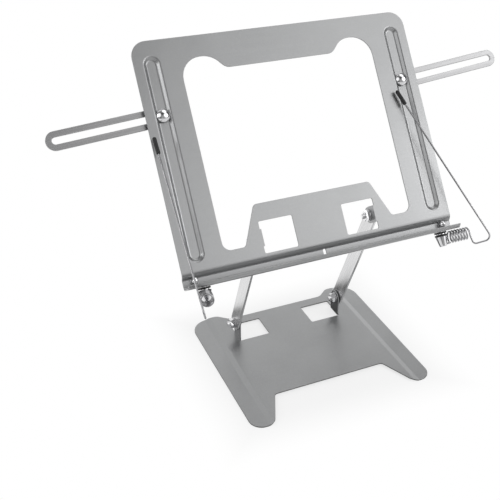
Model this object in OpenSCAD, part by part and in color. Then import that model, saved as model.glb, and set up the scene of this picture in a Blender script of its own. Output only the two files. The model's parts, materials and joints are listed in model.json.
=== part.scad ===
// Folding book stand of painted sheet steel: a base with two pivoted legs, a back plate with a ledge,
// two sliding page arms behind the plate and two sprung wire page clips under the ledge.
// X to the right, Y to the back, Z up, millimetres. The origin is the centre of the base on the table.

/* [Back plate] */
// Width of the back plate
plate_w = 210; // [190:1:250]
// Height of the back plate above its lower bend
plate_h = 160; // [150:1:190]
// Thickness of the plate's and the base's sheet
sheet_t = 1; // [0.8:0.1:1.3]
// Lean of the back plate from upright, degrees
plate_lean = 36; // [20:1:55]
// Radius of the plate's upper corners
plate_corner_r = 11; // [6:1:20]

/* [Cut-out] */
// Plate left beside the cut-out
rim_side = 31.8; // [30:0.1:36]
// Plate left above the cut-out
rim_top = 25; // [20:0.5:30]
// Extra height of the cut-out at its upper corners
lobe_rise = 9.9; // [6:0.1:12]
// Radius of the cut-out's upper corners
lobe_r = 15; // [10:0.5:18]
// Lower edge of the cut-out above the bend
notch_v = 11.2; // [8:0.1:13]
// Height of the brace between the windows above the bend
brace_v = 38.5; // [34:0.5:45]
// Brace left outside the windows at its upper edge
brace_side = 0.5; // [0:0.1:6]
// How much wider the brace is at its foot, each side
brace_flare = 12.2; // [10:0.1:16]
// Radius of the cut-out's lower corners
notch_r = 6; // [3:0.5:8]
// Width of the windows in the plate and the base
window_w = 25.3; // [18:0.1:32]
// Lower edge of the plate's windows above the bend
window_v = 3.9; // [3:0.1:6]
// Height of the plate's windows
window_h = 22.4; // [20:0.1:26]

/* [Stiffening beads] */
// Width of a bead at the front of the plate
bead_w = 11; // [9:0.1:13]
// Depth of a bead
bead_d = 2; // [1.5:0.1:3]
// Run of a bead's sloping wall for each millimetre of its depth
bead_slope = 1; // [0.6:0.05:1.2]
// Centre of a bead from the plate's side edge
bead_inset = 12.5; // [10:0.1:16]
// Lower end of a bead above the bend
bead_low = 8.3; // [7:0.1:20]
// Upper end of a bead below the plate's top
bead_top = 11; // [8:0.5:20]

/* [Ledge] */
// How far the sheet steps back below the bend
step_back = 2.9; // [2:0.1:4]
// Inside radius of the bend above that step
step_bend = 4; // [1:0.1:4.5]
// Depth of the ledge in front of the plate
ledge_d = 10.5; // [8:0.1:16]
// Underside of the ledge below the bend
ledge_drop = 8.7; // [7.5:0.1:10]
// Height of the lip above the underside of the ledge
lip_h = 2.9; // [2.5:0.1:5]
// Lean of the lip away from the plate, degrees
lip_lean = 20; // [0:1:30]
// Inside radius of the ledge's bends
ledge_r = 1.2; // [0.8:0.1:1.6]
// Width of the centre slot in the back of the ledge
centre_slot_w = 2.2; // [1.5:0.1:3]
// Height of the centre slot
centre_slot_l = 4.6; // [3.2:0.1:5]

/* [Legs] */
// Distance between the two pivots of a leg
leg_len = 107; // [90:1:130]
// Lean of the legs from upright, degrees
leg_lean = 22.3; // [5:0.1:40]
// Width of a leg
leg_w = 13; // [11:0.5:15]
// Thickness of a leg
leg_t = 1.8; // [1.5:0.1:2.5]
// Outer face of the pivot tabs from the middle of the stand
tab_x = 44.6; // [42:0.1:50]
// Width of a pivot tab
tab_w = 12; // [10:0.5:13]
// Pivot on the plate above the bend
top_pivot_v = 15; // [13:0.1:17]
// Pivot on the plate behind its front face
top_pivot_back = 8.5; // [8:0.1:12]
// Gap between a tab and its leg
tab_gap = 0.4; // [0.2:0.1:0.6]

/* [Base] */
// Width of the base
base_w = 149; // [140:1:170]
// Distance from the base's front feet to its rear lobes
base_l = 132.5; // [125:0.5:160]
// Height of the base's middle above its side strips
base_rise = 1.1; // [0.8:0.1:3]
// Width of the base's side strips
strip_w = 13; // [11:0.5:17]
// Width of the slope between a side strip and the middle
strip_slope_w = 4.2; // [3:0.1:8]
// Depth of the notch between the front feet
foot_l = 27; // [20:0.5:32]
// Width of a front foot at its end
foot_w = 16.3; // [14:0.1:20]
// How far a foot's outer edge runs in towards its end
foot_taper = 1.2; // [0:0.1:4]
// Radius of a foot's outer corner
foot_r = 9.8; // [6:0.1:11]
// Radius of the notch's inner corners
foot_notch_r = 3; // [1:0.5:8]
// Radius of the base's rear outer corners
rear_r = 14; // [8:0.5:18]
// Depth of the bay between the rear lobes
bay_d = 7.5; // [6:0.5:12]
// Height of the base pivot above the middle of the base
base_pivot_h = 13.5; // [12:0.5:18]
// Base pivot from the rear edge of the lobes
base_pivot_in = 30.5; // [28:0.5:36]
// Depth of the windows in the base
base_window_l = 22; // [20:0.5:26]
// Front edge of the base windows before the pivot
base_window_front = 7.5; // [7:0.5:11]

/* [Fasteners] */
// Diameter of the pivot screws
screw_d = 4; // [3:0.5:5]
// Diameter of a pivot screw's head
screw_head_d = 7.6; // [7:0.1:9]
// Height of a pivot screw's head
screw_head_h = 2.6; // [2:0.1:3.5]
// Width of a nut across its flats
nut_af = 7; // [6:0.5:8]
// Height of a nut
nut_h = 3.2; // [2.4:0.1:4]
// Length of screw past its nut
screw_end = 2.2; // [1:0.1:4]
// Thickness of the steel washers
washer_t = 0.8; // [0.5:0.1:1.2]
// Running clearance round a pin, on the radius
pin_clear = 0.06; // [0.03:0.01:0.1]

/* [Page arms] */
// Overall length of a page arm
arm_len = 98; // [92:1:110]
// Width of a page arm
arm_w = 12.9; // [11:0.1:15]
// Thickness of a page arm
arm_t = 1.5; // [1.2:0.1:2]
// Width of the slot along a page arm
arm_slot_w = 4.8; // [4:0.1:6]
// Inner end of the left page arm from its rivet
left_in = 19; // [9:0.5:50]
// Inner end of the right page arm from its rivet
right_in = 9; // [9:0.5:50]
// Slope of the left page arm, degrees
left_slope = 4; // [-20:1:20]
// Slope of the right page arm, degrees
right_slope = 5; // [-20:1:20]
// Height of the arm rivets above the bend
rivet_v = 108.5; // [90:0.5:125]
// Bead left beside an arm rivet's domed head
rivet_side = 0.8; // [0.6:0.1:1.4]
// Height of an arm rivet's domed head
rivet_head_h = 2.6; // [2:0.1:3.5]

/* [Page clips] */
// Clip pivot from the plate's side edge
clip_inset = 12.5; // [10:0.1:16]
// Diameter of a clip pivot's flange and washers
clip_d = 9; // [8:0.1:9.6]
// Diameter of a clip pivot's pin through the ledge
clip_pin_d = 3.6; // [3:0.1:4.2]
// Diameter of a clip pivot's lower end
clip_tip_d = 5.4; // [5.2:0.1:7]
// Length of a clip pivot's tapered body
clip_body_l = 7.6; // [7.5:0.1:10]
// Thickness of the rubber rings on a clip pivot
ring_t = 1.2; // [0.8:0.1:1.6]
// Diameter of the spring wire
wire_d = 1.3; // [1:0.1:1.4]
// Mean radius of a clip spring
coil_r = 4.1; // [3.8:0.1:4.2]
// Pitch of a clip spring
coil_pitch = 2.18; // [1.86:0.01:2.4]
// Full turns of a clip spring, besides its last three quarters
coil_turns = 6; // [5:1:9]
// Swivel of the right clip, degrees forward from sideways
right_swivel = 15; // [0:1:30]
// Swivel of the left clip, degrees forward from sideways
left_swivel = 75; // [60:1:80]
// Droop of the left clip's spring, degrees
left_droop = 10; // [8:0.5:12]
// Side lean of the left clip's wire, degrees
left_lean = 3; // [2:0.5:4]
// Extra inward lean of the left wire arm's straight run, degrees
left_bend = 3; // [0:0.5:5]
// Length of the left wire arm's straight run
left_run = 124.5; // [110:0.5:140]
// Length of the right wire arm's straight run
right_run = 128.5; // [110:0.5:140]
// Lean of the straight run towards the middle of the stand, degrees
wire_lean = 19.7; // [18:0.1:22]
// Drop of a wire arm's bow below the spring's axis
bow_drop = 8.9; // [7:0.1:12]
// Width of a wire arm's bow
bow_w = 14.6; // [12:0.1:18]
// Length of the sleeve on the end of a wire arm
sleeve_l = 10.8; // [8:0.1:16]
// Diameter of a sleeve
sleeve_d = 2.8; // [2.6:0.1:3.4]
// Ball head of the rivet beside each clip
clip_ball_d = 4.8; // [4:0.1:5]
// Ball-headed rivet from the clip pivot
clip_rivet_out = 4.5; // [4.2:0.1:6]
// Ball-headed rivet below the bend
clip_rivet_drop = 3.4; // [3.4:0.1:4.2]

/* [Hidden] */
$fn = 48;

paint = [0.60, 0.61, 0.62];
bright_steel = [0.82, 0.82, 0.83];
chrome = [0.88, 0.88, 0.90];
black_rubber = [0.08, 0.08, 0.08];

sides = [-1, 1];
skin = 0.01;

// Places of the pivots: the base pivot, then along the leg to the plate's pivot
base_top = base_rise + sheet_t;
base_pivot_y = base_l / 2 - base_pivot_in;
base_pivot_z = base_top + base_pivot_h;
top_pivot_y = base_pivot_y - leg_len * sin(leg_lean);
top_pivot_z = base_pivot_z + leg_len * cos(leg_lean);

// Stack across a pivot: tab, gap, leg
leg_in = tab_x + tab_gap;
leg_out = leg_in + leg_t;

// Back plate
bead_x = plate_w / 2 - bead_inset;
brace_top_x = tab_x + brace_side;
window_r = 1.2;
lip_y = sheet_t / 2 - ledge_d;
ledge_mid_v = sheet_t / 2 - ledge_drop;
ledge_top_v = sheet_t - ledge_drop;
flat_v = min(window_v, bead_low) - 0.9;
lip_in = (lip_h - sheet_t / 2) * tan(lip_lean);

// Step above the ledge: a wide bend, a slope and a narrow bend, which share the length of the slope
step_slope = 0.72;
step_turn = atan(1 / step_slope);
step_run = step_back / sin(step_turn);
step_r = min(step_bend + sheet_t / 2, step_run / tan(step_turn / 2) - ledge_r - sheet_t);
step_start_v = flat_v - 0.05 - step_r * tan(step_turn / 2);
step_end_v = step_start_v - step_slope * step_back;

// Page arms
arm_gap = 0.3;
arm_front = bead_d + sheet_t + arm_gap;
arm_back = arm_front + arm_t;
arm_end_wall = (arm_w - arm_slot_w) / 2;
left_reach = arm_len - left_in;
right_reach = arm_len - right_in;
rivet_d = arm_slot_w - 2 * pin_clear;
rivet_head_d = bead_w - 2 * rivet_side;
rivet_seat = (rivet_side - 0.2) / bead_slope;
washer_gap = 0.2;
arm_washer_d = 2 * arm_slot_w;
tail_h = 1.6;

// Page clips
clip_x = plate_w / 2 - clip_inset;
clip_head_d = clip_pin_d + 1.2;
// The pin stands just before the bend of the ledge, so that its head clears the bend
clip_y = step_back - ledge_r - clip_head_d / 2 - 0.1;
clip_head_h = 1.2;
clip_flange_t = 0.9;
ring_gap = 0.15;
ring_top = -ledge_drop - ring_gap;
body_top = ring_top - 2 * ring_t - clip_flange_t;
body_low = body_top - clip_body_l;
seat_wall = 0.9;
wire_seat_v = body_low + wire_d / 2 + seat_wall;
axis_v = wire_seat_v + coil_r;
coil_start = clip_d / 2 + wire_d / 2 + 0.2;
coil_end = coil_start + coil_pitch * (coil_turns + 0.75);
coil_bend = 1.6;
wire_seat_depth = 0.8;
wire_start = -wire_d;
tube_sides = 6;
curl_rings = 8;

// Vector of the same direction and length one
function unit(v) = v / norm(v);

// Points of a fillet of radius r at corner b between a and c
function fillet(a, b, c, r, steps) =
    r == 0 ? [b] :
    let (p = unit(a - b), q = unit(c - b), half = acos(p * q) / 2)
    let (reach = r / tan(half), mid = b + unit(p + q) * r / sin(half))
    let (from = b + p * reach - mid, to = b + q * reach - mid, sweep = 180 - 2 * half)
    let (side = unit(to - from * (to * from) / (r * r)) * r)
    [for (k = [0:steps]) mid + from * cos(sweep * k / steps) + side * sin(sweep * k / steps)];

// Closed outline through corners [x, y, radius], with each corner rounded
function rounded(corners, steps = 8) =
    let (n = len(corners))
    [for (i = [0:n - 1])
        let (a = corners[(i + n - 1) % n], b = corners[i], c = corners[(i + 1) % n])
        each fillet([a.x, a.y], [b.x, b.y], [c.x, c.y], b[2], steps)];

// Open path through corners [point, radius], with the inner corners rounded
function path(corners, steps) =
    let (n = len(corners))
    [for (i = [0:n - 1])
        each (i == 0 || i == n - 1) ? [corners[i][0]] :
            fillet(corners[i - 1][0], corners[i][0], corners[i + 1][0], corners[i][1], steps)];

// Direction of a path at point i
function along(p, i) = unit(p[min(i + 1, len(p) - 1)] - p[max(i - 1, 0)]);

// Outline of a sheet of thickness t that follows a path in the plane
function strip(p, t) =
    let (n = len(p))
    let (across = [for (i = [0:n - 1]) let (d = along(p, i)) [-d.y, d.x] * t / 2])
    concat([for (i = [0:n - 1]) p[i] + across[i]], [for (i = [n - 1:-1:0]) p[i] - across[i]]);

// Mirrored outline: corners of the right half, then of the left half
function both_halves(half) =
    concat(half, [for (i = [len(half) - 1:-1:0]) [-half[i].x, half[i].y, half[i][2]]]);

// Round tube along a path: a ring of points square to the path at every point, then end caps
module tube(p, d, n) {
    count = len(p);
    // Each ring's sideways direction is square to the path and turns as little as it can
    first = unit(cross(along(p, 0), abs(along(p, 0).z) < 0.9 ? [0, 0, 1] : [0, 1, 0]));
    turned = [for (i = 0, s = first; i < count;
                   i = i + 1,
                   s = i < count ? unit(s - along(p, i) * (s * along(p, i))) : s) s];
    points = [for (i = [0:count - 1], k = [0:n - 1])
        let (s = turned[i], u = cross(along(p, i), s))
        p[i] + (s * cos(360 * k / n) + u * sin(360 * k / n)) * d / 2];
    walls = [for (i = [0:count - 2], k = [0:n - 1])
        let (a = i * n + k, b = i * n + (k + 1) % n)
        each [[a, a + n, b + n], [a, b + n, b]]];
    caps = [for (k = [1:n - 2]) each [[0, k, k + 1],
        [(count - 1) * n, (count - 1) * n + k + 1, (count - 1) * n + k]]];
    polyhedron(points, concat(walls, caps));
}

// Places children on the back plate: x across, z up the plate, y behind its front face
module on_plate() {
    translate([0, top_pivot_y, top_pivot_z]) rotate([-plate_lean, 0, 0])
        translate([0, -top_pivot_back, -top_pivot_v]) children();
}

// Sheet of a given outline, standing in the plate with its front face at y = 0
module sheet(outline) {
    translate([0, sheet_t, 0]) rotate([90, 0, 0]) linear_extrude(sheet_t) polygon(outline);
}

// Cylinder along X between two places
module pin_x(from, to, d) {
    translate([from, 0, 0]) rotate([0, 90, 0]) cylinder(h = to - from, d = d);
}

// Pivot tab: a strip from its root to the pivot with a round end, bored for the screw
module pivot_tab(root) {
    difference() {
        union() {
            translate([tab_x - sheet_t, -tab_w / 2, -root]) cube([sheet_t, tab_w, root]);
            pin_x(tab_x - sheet_t, tab_x, tab_w);
        }
        pin_x(tab_x - 2 * sheet_t, tab_x + sheet_t, screw_d + 2 * pin_clear);
    }
}

// Both halves of the sheet's outline and of its cut-out
module plate_sheet() {
    x = plate_w / 2;
    inner = x - rim_side;
    top = plate_h - rim_top;
    foot_x = brace_top_x + brace_flare;
    outline = rounded(both_halves([[x, plate_h, plate_corner_r], [x, flat_v, 0]]));
    opening = rounded(both_halves([
        [inner - lobe_rise - lobe_r - 7, top, lobe_r / 2],
        [inner - lobe_r - 8, top + lobe_rise, lobe_r],
        [inner, top + lobe_rise, lobe_r],
        [inner, notch_v, notch_r],
        [foot_x, notch_v, notch_r / 2],
        [brace_top_x, brace_v, 3.5]]));
    difference() {
        sheet(outline);
        translate([0, sheet_t, 0]) rotate([90, 0, 0]) translate([0, 0, -sheet_t])
            linear_extrude(3 * sheet_t) polygon(opening);
        for (s = sides) translate([s * (tab_x - window_w / 2), 0, window_v + window_h / 2])
            window(window_w, window_h);
    }
}

// Cutter of a window through the plate
module window(w, h) {
    outline = rounded([for (c = [[1, 1], [-1, 1], [-1, -1], [1, -1]])
        [c.x * w / 2, c.y * h / 2, window_r]]);
    translate([0, 2 * sheet_t, 0]) rotate([90, 0, 0]) linear_extrude(3 * sheet_t) polygon(outline);
}

// Bead form: a trough with a flat floor, sloping walls and round ends, sunk into the plate from the front.
// Its outside is grown square to the walls, so that the sheet keeps its thickness.
module bead_form(s, grow) {
    from = grow > 0 ? 0 : -sheet_t;
    to = bead_d + grow;
    half = bead_w / 2 + grow * sqrt(1 + bead_slope * bead_slope);
    wide = half - bead_slope * from;
    narrow = half - bead_slope * to;
    low = bead_low + bead_w / 2;
    high = plate_h - bead_top - bead_w / 2;
    translate([s * bead_x, 0, low]) {
        linear_extrude(high - low) polygon([[-wide, from], [wide, from], [narrow, to], [-narrow, to]]);
        for (v = [0, high - low]) translate([0, from, v]) rotate([-90, 0, 0])
            cylinder(h = to - from, r1 = wide, r2 = narrow);
    }
}

// Section of the ledge: the sheet steps back, drops, runs forward and turns up into a lip
module ledge() {
    bend = ledge_r + sheet_t / 2;
    back_y = sheet_t / 2 + step_back;
    section = path([
        [[sheet_t / 2, flat_v], 0],
        [[sheet_t / 2, step_start_v], step_r],
        [[back_y, step_end_v], bend],
        [[back_y, ledge_mid_v], bend],
        [[lip_y + lip_in, ledge_mid_v], bend],
        [[lip_y, lip_h - ledge_drop], 0]], 5);
    difference() {
        rotate([90, 0, 90]) translate([0, 0, -plate_w / 2])
            linear_extrude(plate_w) polygon(strip(section, sheet_t));
        for (s = sides) lip_corner(s);
    }
}

// Cutter that rounds the lower corner of the lip
module lip_corner(s) {
    r = lip_h - sheet_t / 2;
    t = lip_in + sheet_t + 2 * skin;
    translate([s * (plate_w / 2 - r), lip_y - sheet_t / 2 - skin + t, r - ledge_drop]) rotate([90, 0, 0])
        difference() {
            translate([s > 0 ? 0 : -2 * r, -2 * r, 0]) cube([2 * r, 2 * r, t]);
            translate([0, 0, -skin]) cylinder(h = t + 2 * skin, r = r);
        }
}

// Folded back plate with its beads, windows, pivot tabs and ledge
module back_plate() {
    color(paint) on_plate() difference() {
        union() {
            plate_sheet();
            for (s = sides) bead_form(s, sheet_t);
            ledge();
            translate([0, top_pivot_back, top_pivot_v]) for (s = [0, 1]) mirror([s, 0, 0])
                rotate([90, 0, 0]) mirror([0, 0, 1]) pivot_tab(top_pivot_back);
        }
        for (s = sides) {
            bead_form(s, 0);
            translate([s * bead_x, 0, rivet_v]) rotate([-90, 0, 0])
                cylinder(h = 2 * arm_back, d = rivet_d + 2 * pin_clear);
            translate([s * clip_x, clip_y, -2 * ledge_drop])
                cylinder(h = 2 * ledge_drop, d = clip_pin_d + 2 * pin_clear);
            translate([s * (clip_x + clip_rivet_out), sheet_t, -clip_rivet_drop]) rotate([-90, 0, 0])
                cylinder(h = 2 * step_back + sheet_t, d = clip_ball_d / 2);
        }
        translate([0, 0, step_end_v - sheet_t / 4]) rotate([0, 90, 0])
            stadium(0, centre_slot_l, centre_slot_w, sheet_t, 2 * step_back + sheet_t);
    }
}

// Outline of the base seen from above, feet at the front and lobes at the back
module base_outline() {
    x = base_w / 2;
    rear = base_l / 2;
    polygon(rounded(both_halves([
        [tab_x - 2.5, rear - bay_d, bay_d],
        [tab_x + 6.4, rear, bay_d],
        [x, rear, rear_r],
        [x - foot_taper, -rear, foot_r],
        [x - foot_taper - foot_w, -rear, foot_r * 0.7],
        [tab_x + 0.4, foot_l - rear, foot_notch_r]])));
}

// Section across the base: flat middle, a slope down to each side strip
module base_section() {
    edge = base_w / 2 + sheet_t;
    strip_in = base_w / 2 - strip_w;
    high = base_rise + sheet_t / 2;
    low = sheet_t / 2;
    bend = strip_slope_w;
    section = path([
        [[-edge, low], 0],
        [[-strip_in, low], bend],
        [[strip_slope_w - strip_in, high], bend],
        [[strip_in - strip_slope_w, high], bend],
        [[strip_in, low], bend],
        [[edge, low], 0]], 5);
    rotate([90, 0, 0]) translate([0, 0, -base_l])
        linear_extrude(2 * base_l) polygon(strip(section, sheet_t));
}

// Folded base with its windows and the two upright pivot tabs
module base_plate() {
    window_y = base_pivot_y - base_window_front + base_window_l / 2;
    color(paint) {
        difference() {
            intersection() {
                base_section();
                translate([0, 0, -sheet_t]) linear_extrude(base_top + 2 * sheet_t) base_outline();
            }
            for (s = sides) translate([s * (tab_x - window_w / 2), window_y, base_rise])
                rotate([-90, 0, 0]) window(window_w, base_window_l);
        }
        translate([0, base_pivot_y, base_pivot_z]) for (s = [0, 1]) mirror([s, 0, 0])
            pivot_tab(base_pivot_z - base_rise);
    }
}

// Flat leg with round ends, bored for the screws at both pivots
module leg(from) {
    color(bright_steel) translate([0, base_pivot_y, base_pivot_z]) rotate([leg_lean, 0, 0])
        difference() {
            union() {
                translate([from, -leg_w / 2, 0]) cube([leg_t, leg_w, leg_len]);
                for (z = [0, leg_len]) translate([0, 0, z]) pin_x(from, from + leg_t, leg_w);
            }
            for (z = [0, leg_len]) translate([0, 0, z])
                pin_x(from - leg_t, from + 2 * leg_t, screw_d + 2 * pin_clear);
        }
}

module left_leg() {
    leg(-leg_out);
}

module right_leg() {
    leg(leg_in);
}

// Each pivot screw runs to the left: head on its right, washer and nut on its left
function head_face(s) = s > 0 ? leg_out : sheet_t - tab_x;
function nut_face(s) = s > 0 ? tab_x - sheet_t : -leg_out;

// Domed screw with a slot in its head
module pivot_screw(s) {
    face = head_face(s);
    end = nut_face(s) - washer_t - nut_h - screw_end;
    dome = 0.7 * screw_head_h;
    ball = (screw_head_d * screw_head_d / 4 + dome * dome) / (2 * dome);
    rotate([0, 90, 0]) difference() {
        union() {
            translate([0, 0, end]) cylinder(h = face + screw_head_h / 4 - end, d = screw_d);
            intersection() {
                translate([0, 0, face + screw_head_h - ball]) sphere(r = ball);
                translate([0, 0, face]) cylinder(h = 2 * screw_head_h, d = screw_head_d);
            }
        }
        translate([-screw_head_d / 14, -screw_head_d, face + screw_head_h / 2])
            cube([screw_head_d / 7, 2 * screw_head_d, screw_head_h]);
    }
}

module pivot_washer(s) {
    face = nut_face(s);
    difference() {
        pin_x(face - washer_t, face, screw_head_d + 1);
        pin_x(face - 2 * washer_t, face + washer_t, screw_d + 2 * pin_clear);
    }
}

module pivot_nut(s) {
    face = nut_face(s) - washer_t;
    difference() {
        translate([face - nut_h, 0, 0]) rotate([0, 90, 0])
            cylinder(h = nut_h, d = nut_af / cos(30), $fn = 6);
        pin_x(face - 2 * nut_h, face + nut_h, screw_d);
    }
}

module at_base_pivot() {
    translate([0, base_pivot_y, base_pivot_z]) children();
}

module at_top_pivot() {
    translate([0, top_pivot_y, top_pivot_z]) rotate([-plate_lean, 0, 0]) children();
}

module base_pivot_screws() {
    color(chrome) at_base_pivot() for (s = sides) pivot_screw(s);
}

module base_pivot_washers() {
    color(bright_steel) at_base_pivot() for (s = sides) pivot_washer(s);
}

module base_pivot_nuts() {
    color(chrome) at_base_pivot() for (s = sides) pivot_nut(s);
}

module top_pivot_screws() {
    color(chrome) at_top_pivot() for (s = sides) pivot_screw(s);
}

module top_pivot_washers() {
    color(bright_steel) at_top_pivot() for (s = sides) pivot_washer(s);
}

module top_pivot_nuts() {
    color(chrome) at_top_pivot() for (s = sides) pivot_nut(s);
}

// Places children at an arm's rivet: x along the arm outwards to the right, z up the plate
module at_rivet(s) {
    on_plate() translate([s * bead_x, 0, rivet_v])
        rotate([0, s > 0 ? -right_slope : -left_slope, 0]) children();
}

// Flat bar with round ends
module stadium(from, to, w, y, t) {
    translate([0, y + t, 0]) rotate([90, 0, 0]) {
        translate([from + w / 2, -w / 2, 0]) cube([to - from - w, w, t]);
        translate([from + w / 2, 0, 0]) cylinder(h = t, d = w);
        translate([to - w / 2, 0, 0]) cylinder(h = t, d = w);
    }
}

// Slotted page arm that slides on its rivet behind the plate
module page_arm(s, reach) {
    from = s > 0 ? reach - arm_len : -reach;
    to = from + arm_len;
    color(bright_steel) at_rivet(s) difference() {
        stadium(from, to, arm_w, arm_front, arm_t);
        stadium(from + arm_end_wall, to - arm_end_wall, arm_slot_w, arm_front - arm_t, 3 * arm_t);
    }
}

module left_arm() {
    page_arm(-1, left_reach);
}

module right_arm() {
    page_arm(1, right_reach);
}

// Rivet with a domed head in the bead, a pin through the arm's slot and a domed tail
module arm_rivet(s) {
    ball = (rivet_head_d * rivet_head_d / 4 + rivet_head_h * rivet_head_h) / (2 * rivet_head_h);
    tail_from = arm_back + washer_gap + washer_t;
    tail_ball = arm_slot_w * 0.8;
    color(chrome) at_rivet(s) rotate([-90, 0, 0]) {
        intersection() {
            translate([0, 0, rivet_seat - rivet_head_h + ball]) sphere(r = ball);
            translate([0, 0, rivet_seat - rivet_head_h]) cylinder(h = rivet_head_h, d = rivet_head_d);
        }
        translate([0, 0, rivet_seat - skin]) cylinder(h = tail_from - rivet_seat + 2 * skin, d = rivet_d);
        intersection() {
            translate([0, 0, tail_from + tail_h - tail_ball]) sphere(r = tail_ball);
            translate([0, 0, tail_from]) cylinder(h = tail_h, d = 1.4 * arm_slot_w);
        }
    }
}

module left_arm_rivet() {
    arm_rivet(-1);
}

module right_arm_rivet() {
    arm_rivet(1);
}

// Washer between an arm and its rivet's tail
module arm_washer(s) {
    color(bright_steel) at_rivet(s) rotate([-90, 0, 0])
        translate([0, 0, arm_back + washer_gap]) difference() {
            cylinder(h = washer_t, d = arm_washer_d);
            translate([0, 0, -washer_t]) cylinder(h = 3 * washer_t, d = rivet_d);
        }
}

module left_arm_washer() {
    arm_washer(-1);
}

module right_arm_washer() {
    arm_washer(1);
}

// Places children at a clip's pivot: x along its spring, z up its pin
module at_clip(s) {
    turn = s > 0 ? -right_swivel : left_swivel - 180;
    on_plate() translate([s * clip_x, clip_y, 0]) rotate([0, 0, turn]) children();
}

// Ball-headed rivet in the back of the ledge beside a clip, with a domed tail behind
module clip_rivet(s) {
    neck_d = clip_ball_d / 2;
    ball_y = step_back - clip_ball_d / 2 - 0.15;
    tail_y = step_back + sheet_t;
    color(chrome) on_plate() translate([s * (clip_x + clip_rivet_out), 0, -clip_rivet_drop])
        rotate([-90, 0, 0]) {
            translate([0, 0, ball_y]) cylinder(h = tail_y + 0.3 - ball_y, d = neck_d);
            translate([0, 0, ball_y]) sphere(d = clip_ball_d);
            intersection() {
                translate([0, 0, tail_y + 0.8 - neck_d]) sphere(r = neck_d);
                translate([0, 0, tail_y]) cylinder(h = neck_d, d = 1.6 * neck_d);
            }
        }
}

module left_clip_rivet() {
    clip_rivet(-1);
}

module right_clip_rivet() {
    clip_rivet(1);
}

// Swivel pin of a clip: head in the ledge, flange between the rubber rings, tapered body below
module clip_pivot(s) {
    color(chrome) at_clip(s) difference() {
        union() {
            translate([0, 0, ledge_top_v + ring_gap]) cylinder(h = clip_head_h, d = clip_head_d);
            translate([0, 0, body_top - skin])
                cylinder(h = ledge_top_v + ring_gap - body_top + 2 * skin, d = clip_pin_d);
            translate([0, 0, ring_top - ring_t - clip_flange_t]) cylinder(h = clip_flange_t, d = clip_d);
            translate([0, 0, body_low]) cylinder(h = clip_body_l, d1 = clip_tip_d, d2 = clip_d);
        }
        translate([0, 0, axis_v]) rotate([0, droop(s), 0])
            translate([wire_seat_depth, -coil_bend, -coil_r]) rotate([0, 90, 0])
                cylinder(h = clip_d, d = wire_d + 2 * pin_clear);
    }
}

module left_clip_pivot() {
    clip_pivot(-1);
}

module right_clip_pivot() {
    clip_pivot(1);
}

// Two rubber rings on a clip's pivot, above and below its flange
module clip_rings(s) {
    color(black_rubber) at_clip(s)
        for (z = [ring_top - ring_t, body_top]) translate([0, 0, z]) difference() {
            cylinder(h = ring_t, d = clip_d);
            translate([0, 0, -ring_t]) cylinder(h = 3 * ring_t, d = clip_pin_d);
        }
}

module left_clip_rings() {
    clip_rings(-1);
}

module right_clip_rings() {
    clip_rings(1);
}

// Places a clip's spring and wire: the left one droops where the plate holds its wire back
function droop(s) = s > 0 ? 0 : left_droop;

module at_spring(s) {
    at_clip(s) translate([0, 0, axis_v]) rotate([0, droop(s), 0]) children();
}

// Spring's path about the X axis: seated end, bend, curls by angle, straight last end.
// A point at angle a lies at the front for a = 0 and at the top for a = 90.
function curl(a) = [coil_end - coil_pitch * a / 360, -coil_r * cos(a), coil_r * sin(a)];
turn_total = 360 * coil_turns + 270;
curl_steps = ceil(turn_total / 360 * curl_rings);
seat_run = [for (k = [0:4]) let (a = 90 * k / 4)
    [coil_start - coil_bend + coil_bend * sin(a), -coil_bend * cos(a), -coil_r]];
curls = [for (k = [1:curl_steps]) curl(turn_total * (1 - k / curl_steps))];
spring_path = concat([[wire_seat_depth, -coil_bend, -coil_r]], seat_run, curls,
    [[coil_end, -coil_r, wire_start]]);

// Least distance between the tube's own turns, less one wire, on the path's points
self_gap = min([for (i = [0:len(spring_path) - 1], j = [i + 6:1:len(spring_path) - 1])
    norm(spring_path[i] - spring_path[j])]) - wire_d;
echo(spring_self_gap = self_gap);

module clip_spring(s) {
    color(bright_steel) at_spring(s) tube(spring_path, wire_d, tube_sides);
}

module left_clip_spring() {
    clip_spring(-1);
}

module right_clip_spring() {
    clip_spring(1);
}

// Wire arm in the plane at the front of its spring: down, across the bow, up the straight run.
// Its first stretch carries on straight from the spring's end, so the two meet face to face.
bow_low = -bow_drop;
bow_in = coil_end + 0.9 * wire_d;
bow_out = bow_in + bow_w;
bow_corner = [bow_out, bow_low + wire_d / 2];
function run_lean(s) = wire_lean + (s > 0 ? 0 : left_bend);
function run_tip(s) =
    bow_corner + [-sin(run_lean(s)), cos(run_lean(s))] * (s > 0 ? right_run : left_run);
function wire_path(s) = [for (p = path([[[coil_end, wire_start], 0],
    [[coil_end, wire_start - wire_d], wire_d], [[bow_in, bow_low], 2 * wire_d],
    [bow_corner, 3 * wire_d], [run_tip(s), 0]], 6)) [p.x, -coil_r, p.y]];

module at_wire(s) {
    at_spring(s) rotate([s > 0 ? 0 : left_lean, 0, 0]) children();
}

module clip_wire(s) {
    color(bright_steel) at_wire(s) tube(wire_path(s), wire_d, 8);
}

module left_clip_wire() {
    clip_wire(-1);
}

module right_clip_wire() {
    clip_wire(1);
}

// Soft sleeve over the end of a wire arm, closed with a round end
module clip_sleeve(s) {
    bore = wire_d + 4 * pin_clear;
    tip = run_tip(s);
    color(black_rubber) at_wire(s) translate([tip.x, -coil_r, tip.y]) rotate([0, -run_lean(s), 0])
        difference() {
            union() {
                translate([0, 0, -sleeve_l]) cylinder(h = sleeve_l, d = sleeve_d);
                sphere(d = sleeve_d);
            }
            translate([0, 0, -2 * sleeve_l]) cylinder(h = 2 * sleeve_l + pin_clear, d = bore);
        }
}

module left_clip_sleeve() {
    clip_sleeve(-1);
}

module right_clip_sleeve() {
    clip_sleeve(1);
}

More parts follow.
